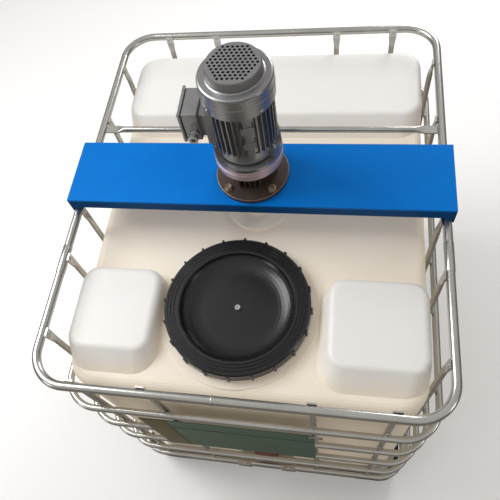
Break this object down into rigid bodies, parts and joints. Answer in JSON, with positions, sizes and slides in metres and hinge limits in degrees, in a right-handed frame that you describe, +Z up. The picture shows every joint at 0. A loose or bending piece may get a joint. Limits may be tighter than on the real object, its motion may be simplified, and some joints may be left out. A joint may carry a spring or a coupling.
{
  "type": "caged mixing tank",
  "caption": "Caged plastic tank on a steel pallet, with a geared motor on a folded bridge turning a bladed agitator, and a screw lid.",
  "frame": {"origin": "centre of the footprint at floor level", "axes": "+Z up, -Y towards the side with the outlet valve, +X to the right seen from that side"},
  "size_m": [1.0086, 1.2066, 1.5803],
  "materials": {
    "galvanised": "galvanised, satin",
    "bright_steel": "bright",
    "foot_plastic": "matt black",
    "milky_plastic": "milky, slightly waxy",
    "lid_plastic": "satin black",
    "valve_plastic": "dark grey",
    "cap_plastic": "red-brown",
    "blue_paint": "semi-gloss",
    "green_paint": "semi-gloss, dark green",
    "casting": "dark",
    "alloy": "painted grey casting"
  },
  "bodies": {
    "tank": {"base_runners": "galvanised", "foot_front_left": "foot_plastic", "foot_front_right": "foot_plastic", "foot_back_left": "foot_plastic", "foot_back_right": "foot_plastic", "middle_feet": "galvanised", "base_frame": "galvanised", "base_tray": "galvanised", "hoop_1": "galvanised", "hoop_2": "galvanised", "hoop_3": "galvanised", "hoop_4": "galvanised", "hoop_5": "galvanised", "top_rail": "galvanised", "uprights_front": "galvanised", "uprights_back": "galvanised", "uprights_left": "galvanised", "uprights_right": "galvanised", "tie_bar": "galvanised", "cage_hooks": "galvanised", "front_plate": "green_paint", "bottle_floor": "milky_plastic", "bottle_wall": "milky_plastic", "bottle_recess": "milky_plastic", "bottle_top": "milky_plastic", "valve_body": "valve_plastic", "valve_cap": "cap_plastic", "valve_handle": "valve_plastic", "bridge": "blue_paint", "reducer_base": "casting", "reducer_housing": "alloy", "motor_front_shield": "alloy", "motor_frame": "alloy", "motor_rear_shield": "alloy", "terminal_box": "alloy", "terminal_lid": "alloy", "cable_gland": "bright_steel", "fan_cowl": "alloy"},
    "lid": {"lid": "lid_plastic", "lid_vent": "bright_steel"},
    "agitator": {"agitator_shaft": "bright_steel", "impeller": "bright_steel"},
    "fan": {"cooling_fan": "foot_plastic"}
  },
  "joints": [
    {"name": "lid_lift", "type": "slide", "parent": "tank", "child": "lid", "axis": [0, 0, 1], "range_m": [0, 0.35]},
    {"name": "agitator_spin", "type": "hinge", "parent": "tank", "child": "agitator", "pos_m": [0, 0, 1.2], "axis": [0, 0, 1], "continuous": true},
    {"name": "fan_spin", "type": "hinge", "parent": "tank", "child": "fan", "pos_m": [0, 0, 1.55], "axis": [0, 0, 1], "continuous": true}
  ],
  "couplings": [
    {"joint": "fan_spin", "follows": "agitator_spin", "ratio": -17}
  ]
}
